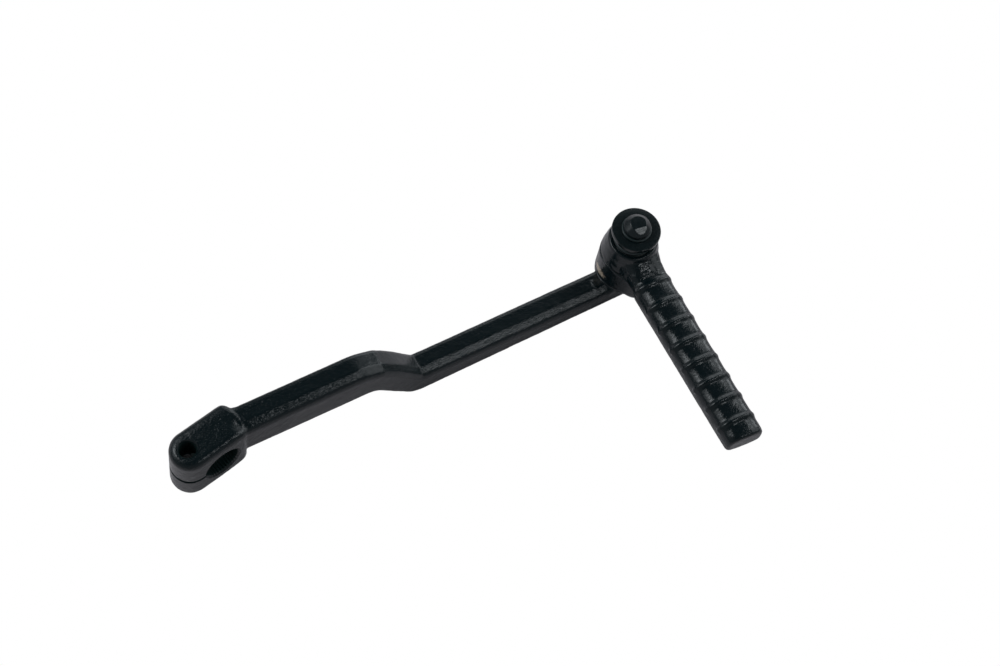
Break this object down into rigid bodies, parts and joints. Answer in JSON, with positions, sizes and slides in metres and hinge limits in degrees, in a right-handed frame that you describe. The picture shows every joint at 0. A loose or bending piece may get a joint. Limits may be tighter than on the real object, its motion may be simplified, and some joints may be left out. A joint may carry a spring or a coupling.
{
  "type": "folding kick-start lever",
  "caption": "Cranked steel foot lever with a splined pinch clamp at one end and a ribbed pedal that folds on a pivot pin at the other.",
  "frame": {"origin": "centre of the splined bore, halfway across the clamp head", "axes": "+Y along the bore, away from the side the pedal sticks out on; +Z along the pivot pin, from its flared end to its ring end; +X from the bore towards the pedal end, with the arm swung 11.65 degrees from +X towards -Y"},
  "size_m": [0.2216, 0.1396, 0.0489],
  "materials": {
    "gloss_black_paint": "thick gloss black enamel over a rough forging",
    "black_pin_finish": "satin black paint over turned steel",
    "dark_spring_steel": "blackened spring steel"
  },
  "bodies": {
    "arm": {"lever_arm": "gloss_black_paint", "pivot_pin": "black_pin_finish", "retaining_washer": "black_pin_finish", "retaining_ring": "dark_spring_steel", "pedal_spring": "dark_spring_steel"},
    "pedal": {"foot_pedal": "gloss_black_paint"}
  },
  "joints": [
    {"name": "pedal_fold", "type": "hinge", "parent": "arm", "child": "pedal", "pos_m": [0.19165, -0.03614, 0], "axis": [0, 0, -1], "range_deg": [0, 90]}
  ]
}
